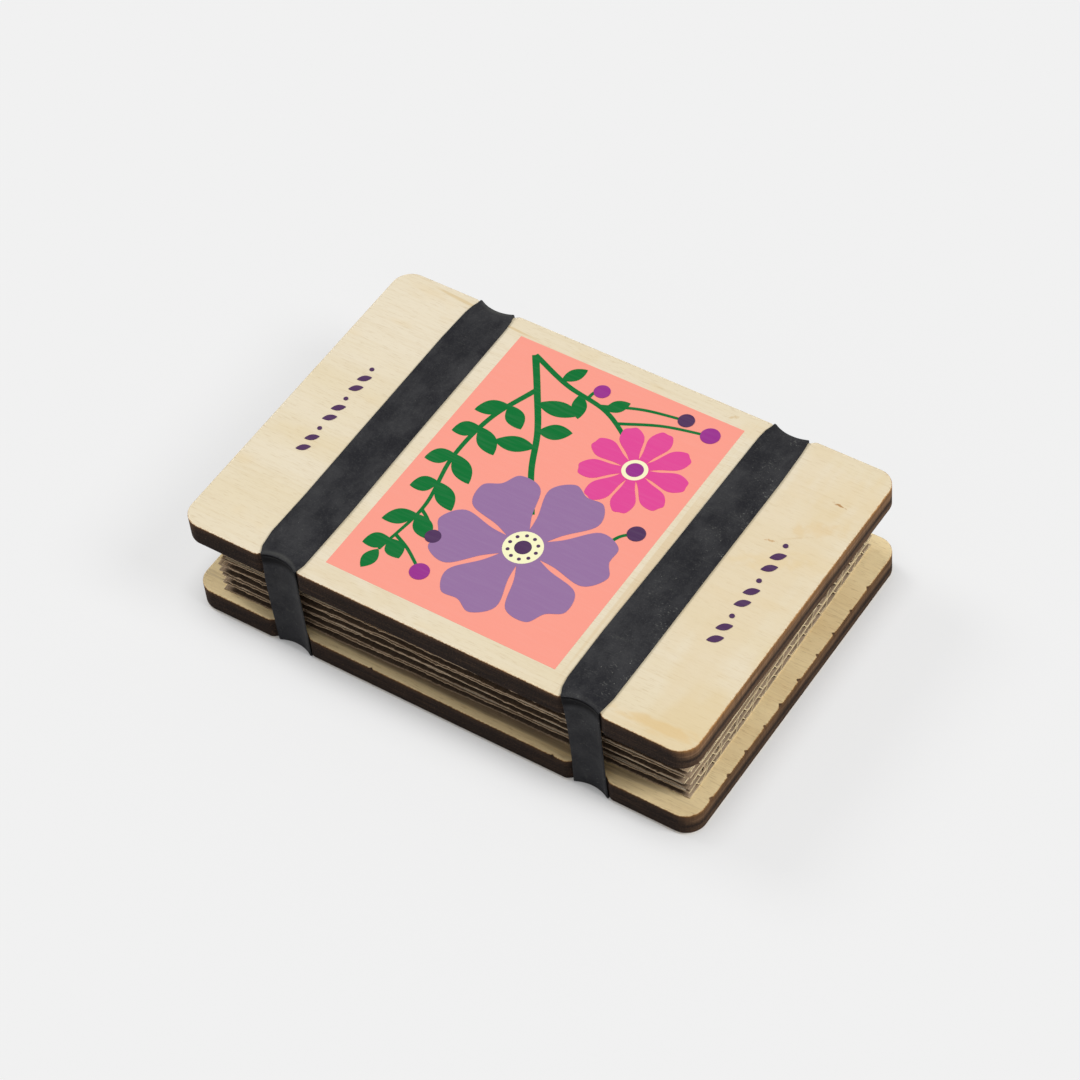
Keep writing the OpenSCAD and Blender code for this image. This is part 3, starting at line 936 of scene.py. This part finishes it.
def band_piece(node, sizes, seed, material):
    """A rubber band: one closed loop that follows its notches and swells where it folds."""
    shape, section, stations = BandShape(node, sizes, seed), band_section(), band_stations()
    rings, dust, talc, highlight_and_shade = [], [], [], []
    for station in stations:
        kind, share = station[:2]
        # Less talc down the side runs, so they get darker towards the bottom: partly painted shade
        talc_and_light = {"run": 1.0, "turn": 1.05, "side": 1.05 - 0.4 * share}[kind]
        rings.append([shape.point(station, u, h) for u, h in section])
        dust += [shape.look["dust"] * talc_and_light * (0.45 + 0.25 * u + 0.5 * max(u, 0) ** 3)
                 for u, h in section]
        talc += [talc_and_light] * len(section)
        highlight_and_shade += [shape.highlight_and_shade_at(station, u) for u, h in section]
    points, faces = loft(rings, looped=True)
    return new_object(node + "_dressed", points, faces, material,
                      {"dust_share": dust, "talc_share": talc, "wear_share": highlight_and_shade}, sharp=60.0)


# Print

# Pieces of the print in the order in which they are made, with how many layers of ink high
INK_LAYERS = {"ground": 1, "leaf": 2, "bloom": 3, "daisy": 3, "berry": 5, "dark": 5, "cream": 4}
# Middle of the printed panel, and the two rows of leaves beside it as (x, half length, leaf)
PANEL_MIDDLE = (-0.4, 0.5)
LEAF_ROWS = ((-61.5, 17.5, 3.9), (61.7, 19.0, 4.3))


def between(a, b, c, d, t):
    """Point on the stretch from b to c of a smooth line through four marks."""
    return tuple(0.5 * (2 * q + (r - p) * t + (2 * p - 5 * q + 4 * r - s) * t * t
                        + (3 * q - p - 3 * r + s) * t ** 3) for p, q, r, s in zip(a, b, c, d))


def smooth_loop(marks, steps=8):
    """A closed smooth line through marks."""
    ring = marks[-1:] + marks + marks[:2]
    return [between(*ring[i:i + 4], k / steps) for i in range(len(marks)) for k in range(steps)]


def smooth_line(marks, steps=12):
    """An open smooth line through marks."""
    before, after = (tuple(2 * a - b for a, b in zip(end, inner))
                     for end, inner in ((marks[0], marks[1]), (marks[-1], marks[-2])))
    ends = [before, *marks, after]
    line = [between(*ends[i:i + 4], k / steps) for i in range(len(marks) - 1) for k in range(steps)]
    return [*line, marks[-1]]


def turned(shape, at, degrees):
    """A shape turned about its origin and put at a place."""
    c, s = math.cos(math.radians(degrees)), math.sin(math.radians(degrees))
    return [(at[0] + x * c - y * s, at[1] + x * s + y * c) for x, y in shape]


def petal(length, half, base=0.12, dent=0.06):
    """Outline of a rounded petal along +X with a shallow dent in its end."""
    side = [(0, base * half), (0.38 * length, 0.5 * half), (0.74 * length, half),
            (0.98 * length, 0.58 * half)]
    return smooth_loop([(x, -y) for x, y in side] + [((1 - dent) * length, 0)] + side[::-1])


def leaf(length, half):
    """Outline of a pointed leaf along +X."""
    side = [(length * i / 14, half * math.sin(math.pi * i / 14) ** 0.85) for i in range(1, 14)]
    return [(0, 0)] + [(x, -y) for x, y in side] + [(length, 0)] + side[::-1]


def disc(radius, at=(0, 0), count=36):
    """Places evenly spread round a circle."""
    return [(at[0] + radius * math.cos(2 * math.pi * i / count),
             at[1] + radius * math.sin(2 * math.pi * i / count)) for i in range(count)]


def stem(line, start, end):
    """Outline of a stem along a line, start and end wide at its two ends."""
    left, right = [], []
    for i, (x, y) in enumerate(line):
        ax, ay = line[max(i - 1, 0)]
        bx, by = line[min(i + 1, len(line) - 1)]
        far = math.hypot(bx - ax, by - ay)
        half = lerp(start, end, i / (len(line) - 1)) / 2
        left.append((x - (by - ay) / far * half, y + (bx - ax) / far * half))
        right.append((x + (by - ay) / far * half, y - (bx - ax) / far * half))
    return left + right[::-1]


def flower(shape, at, count, turn):
    """Petals evenly spread round a flower's heart."""
    return [turned(shape, at, 360 / count * k + turn) for k in range(count)]


def plates(shapes, low, high, rise):
    """Points and faces of thin plates, each shape a little higher than the one before."""
    parts = []
    for i, shape in enumerate(shapes):
        area = sum(a[0] * b[1] - b[0] * a[1] for a, b in zip(shape, shape[1:] + shape[:1]))
        shape = shape if area > 0 else shape[::-1]
        parts.append(loft([[(x, y, z) for x, y in shape] for z in (low, high + rise * i)]))
    return joined(parts)


def bouquet():
    """The print's generic bouquet as {ink: shapes}, in millimetres from the panel's corner."""
    main = smooth_line([(7, 84), (14, 74), (22, 62), (28, 50), (36, 38)])
    arch = smooth_line([(7, 84), (20, 79), (34, 76), (47, 68)])
    sprig = smooth_line([(14, 74), (9, 60), (8, 44), (11, 27), (9, 10)])
    bloom_at, daisy_at = (40, 28), (50.5, 63)
    seeds = [disc(0.5, at, 16) for at in disc(3.8, bloom_at, 10)]
    shapes = {"leaf": [stem(main, 1.9, 1.5), stem(arch, 1.5, 1.2), stem(sprig, 1.6, 0.8)],
              "bloom": flower(petal(23.5, 8.7), bloom_at, 6, 17),
              "daisy": flower(petal(14.2, 3.15, 0.2, 0.0), daisy_at, 9, 6),
              "berry": [disc(2.3, daisy_at)],
              "dark": [disc(2.2, bloom_at), *seeds],
              "cream": [disc(5.2, bloom_at), disc(3.4, daisy_at)]}

    # Leaves as (share of the line, turn, length), those of the sprig in pairs of two lengths
    pairs = ((0.16, 9, 9), (0.32, 10.5, 7.3), (0.48, 11, 7.8), (0.64, 10.5, 7.3), (0.80, 9, 9),
             (0.94, 7, 7))
    sprigs = [leaf_at for share, right, left in pairs
              for leaf_at in ((share, -38, right), (share, 218, left))]
    for line, half, leaves in (
            (sprig, 2.5, sprigs), (sprig, 2.0, [(1, -95, 7)]),
            (main, 2.6, [(0.34, 8, 12), (0.62, 195, 11), (0.5, 25, 9)]),
            (arch, 2.0, [(0.3, 58, 7.5), (0.45, -62, 8.5), (0.66, 48, 7)])):
        for share, turn, length in leaves:
            at = line[int(share * (len(line) - 1))]
            shapes["leaf"].append(turned(leaf(length, half), at, turn))

    # Berries as (x, y, radius, ink, foot of the stalk)
    for x, y, r, ink, (foot_x, foot_y) in (
            (61, 82, 2.6, "berry", (38, 74)), (53, 83.5, 2.2, "dark", (31, 77)),
            (62, 45.5, 2.4, "dark", (57, 38)), (22, 9, 2.6, "berry", (10, 16)),
            (18.5, 20, 2.1, "dark", (11, 26)), (29, 81.5, 2.2, "berry", (27, 77))):
        bend = ((foot_x + x) / 2 - 0.6, (foot_y + y) / 2 + 1)
        shapes["leaf"].append(stem(smooth_line([(foot_x, foot_y), bend, (x, y)]), 1.0, 0.8))
        shapes[ink].append(disc(r, (x, y)))
    return shapes


def leaf_row(middle, half_l, size):
    """A row of small leaves along Y, with a dot after each two. Its sizes are shares of a
    leaf's length."""
    shapes, count = [], int(2 * half_l / (size * 0.95))
    for k in range(count):
        y = lerp(-half_l + size / 2, half_l - size / 2, k / (count - 1))
        if k % 3 == 2:
            shapes.append(disc(size * 0.16, (middle, y), 20))
        else:
            shapes.append(turned(leaf(size, size * 0.24), (middle - size * 0.36, y - size * 0.22),
                                 38))
    return shapes


# Operators

class PRESS_OT_boards(bpy.types.Operator):
    """Replaces both plywood boards"""
    bl_idname = "flower_press.boards"
    bl_label = "Plywood boards"

    def execute(self, context):
        sizes, colours = context.scene.press_sizes, context.scene.press_colours
        thick = TOP_HIGH.z - TOP_LOW.z
        pale = birch_veneer("birch_plywood_laser_cut", tuple(colours.veneer),
                            tuple(colours.veneer_warm), 1, 0.8, TOP_MARKS, 0.0)
        inner = birch_veneer("birch_plywood_inner_face", tuple(colours.inner_veneer),
                             "#ECD4A4", 2, 1.5, INNER_MARKS, 0.4)
        top = board_piece("top_board_dressed", sizes, TOP_LOW.z, thick, pale, [], 5)
        bottom = board_piece("bottom_board_dressed", sizes, BOTTOM_LOW.z, thick, inner,
                             burnt_nicks(), 8)
        for piece, node, body in ((top, "top_board", "top_board"),
                                  (bottom, "bottom_board", "base")):
            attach(piece, body)
            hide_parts(node)
        return {"FINISHED"}


class PRESS_OT_cards(bpy.types.Operator):
    """Replaces the corrugated cards"""
    bl_idname = "flower_press.cards"
    bl_label = "Corrugated cards"

    def execute(self, context):
        sizes, colours = context.scene.press_sizes, context.scene.press_colours
        material = kraft_card("kraft_corrugated_card", tuple(colours.kraft))
        for k, node in enumerate(CARDS):
            piece = card_piece(node, 31 * (k + 1), sizes, material)
            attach(piece, node)
            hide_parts(node)
        return {"FINISHED"}


class PRESS_OT_papers(bpy.types.Operator):
    """Replaces the sheets of absorbent paper"""
    bl_idname = "flower_press.papers"
    bl_label = "Absorbent papers"

    def execute(self, context):
        material = blotting_paper("blotting_paper_unsized",
                                  tuple(context.scene.press_colours.blotting))
        for k, node in enumerate(PAPERS):
            piece = paper_piece(node, 400 + 7 * k, material)
            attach(piece, node)
            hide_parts(node)
        return {"FINISHED"}


class PRESS_OT_bands(bpy.types.Operator):
    """Replaces the two rubber bands"""
    bl_idname = "flower_press.bands"
    bl_label = "Rubber bands"

    def execute(self, context):
        sizes, colours = context.scene.press_sizes, context.scene.press_colours
        material = dusted_rubber("natural_rubber_dusted", tuple(colours.rubber))
        for node, seed in (("left_band", 61), ("right_band", 71)):
            piece = band_piece(node, sizes, seed, material)
            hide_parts(node)
            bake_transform(piece)
        return {"FINISHED"}


class PRESS_OT_print(bpy.types.Operator):
    """Prints a generic bouquet and two rows of leaves on the top board"""
    bl_idname = "flower_press.print"
    bl_label = "Print"

    def execute(self, context):
        sizes, colours = context.scene.press_sizes, context.scene.press_colours
        width, length, ink = (in_mm(v) for v in (sizes.print_w, sizes.print_l, sizes.ink_t))
        left, near_y = PANEL_MIDDLE[0] - width / 2, PANEL_MIDDLE[1] - length / 2
        face, art = TOP_HIGH.z, bouquet()
        art["ground"] = [[(0, 0), (width, 0), (width, length), (0, length)]]
        for name, layers in INK_LAYERS.items():
            shapes = [[(left + x, near_y + y) for x, y in shape] for shape in art[name]]
            if name == "dark":
                shapes += [shape for row in LEAF_ROWS for shape in leaf_row(*row)]
            points, faces = plates(shapes, face - ink, face + ink * layers, ink / 50)
            material = screen_ink("screen_ink_" + name, tuple(getattr(colours, "ink_" + name)))
            piece = new_object("print_" + name, points, faces, material, sharp=30.0)
            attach(piece, "top_board")
        return {"FINISHED"}


# The soft lights as {name: (lean to the side in degrees, share of the strength)}, their tilt and
# how wide they look from the object
KEY_LIGHTS = {"key_right": (45, 1.2), "key_left": (-45, 0.8)}
KEY_TILT, KEY_WIDTH = -5, 24


class PRESS_OT_stage(bpy.types.Operator):
    """Adds the floor, the soft light and the camera"""
    bl_idname = "flower_press.stage"
    bl_label = "Stage"

    def execute(self, context):
        scene, stage = context.scene, context.scene.press_stage
        scene.view_settings.view_transform = "Standard"
        reach = in_mm(stage.floor_reach)
        material = matt_floor("floor_paper_sweep", tuple(scene.press_colours.floor), stage.glow)
        corners = [(-reach, -reach, 0), (reach, -reach, 0), (reach, reach, 0), (-reach, reach, 0)]
        floor = new_object("floor", corners, [(0, 1, 2, 3)], material)

        world = bpy.data.worlds.new("studio")
        scene.world = world
        world.use_nodes = True
        wire(world.node_tree, world.node_tree.nodes["Background"],
             {"Color": "#FFFFFF", "Strength": stage.dome})

        for name, (lean, share) in KEY_LIGHTS.items():
            light = bpy.data.lights.new(name, "SUN")
            light.energy = stage.key * share
            light.angle = math.radians(KEY_WIDTH)
            lamp = bpy.data.objects.new(name, light)
            lamp.rotation_euler = [math.radians(a) for a in (KEY_TILT, lean, 0)]
            scene.collection.objects.link(lamp)

        camera = bpy.data.cameras.new("camera")
        camera.lens, camera.shift_x, camera.shift_y = stage.lens, stage.shift_x, stage.shift_y
        camera.clip_start, camera.clip_end = 0.01, 20.0
        eye = bpy.data.objects.new("camera", camera)
        eye.location, eye.rotation_euler = tuple(stage.eye), tuple(stage.aim)
        scene.collection.objects.link(eye)
        scene.camera = eye
        return {"FINISHED"}


class PRESS_PT_panel(bpy.types.Panel):
    """Lists the press's pieces"""
    bl_idname = "PRESS_PT_panel"
    bl_label = "Flower press"
    bl_space_type = "VIEW_3D"
    bl_region_type = "UI"
    bl_category = "Flower press"

    def draw(self, context):
        for operator in OPERATORS:
            self.layout.operator(operator.bl_idname)
        for group in ("press_sizes", "press_colours", "press_stage"):
            values = getattr(context.scene, group)
            column = self.layout.column()
            for key in values.__annotations__:
                column.prop(values, key)


OPERATORS = (PRESS_OT_stage, PRESS_OT_boards, PRESS_OT_cards, PRESS_OT_papers, PRESS_OT_bands,
             PRESS_OT_print)
CLASSES = (PressSizes, PressColours, PressStage, *OPERATORS, PRESS_PT_panel)


def register():
    for item in CLASSES:
        bpy.utils.register_class(item)
    bpy.types.Scene.press_sizes = PointerProperty(type=PressSizes)
    bpy.types.Scene.press_colours = PointerProperty(type=PressColours)
    bpy.types.Scene.press_stage = PointerProperty(type=PressStage)


def unregister():
    for key in ("press_sizes", "press_colours", "press_stage"):
        delattr(bpy.types.Scene, key)
    for item in reversed(CLASSES):
        bpy.utils.unregister_class(item)


def main():
    register()
    for operator in OPERATORS:
        group, name = operator.bl_idname.split(".")
        getattr(getattr(bpy.ops, group), name)()
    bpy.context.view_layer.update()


if __name__ == "__main__":
    main()
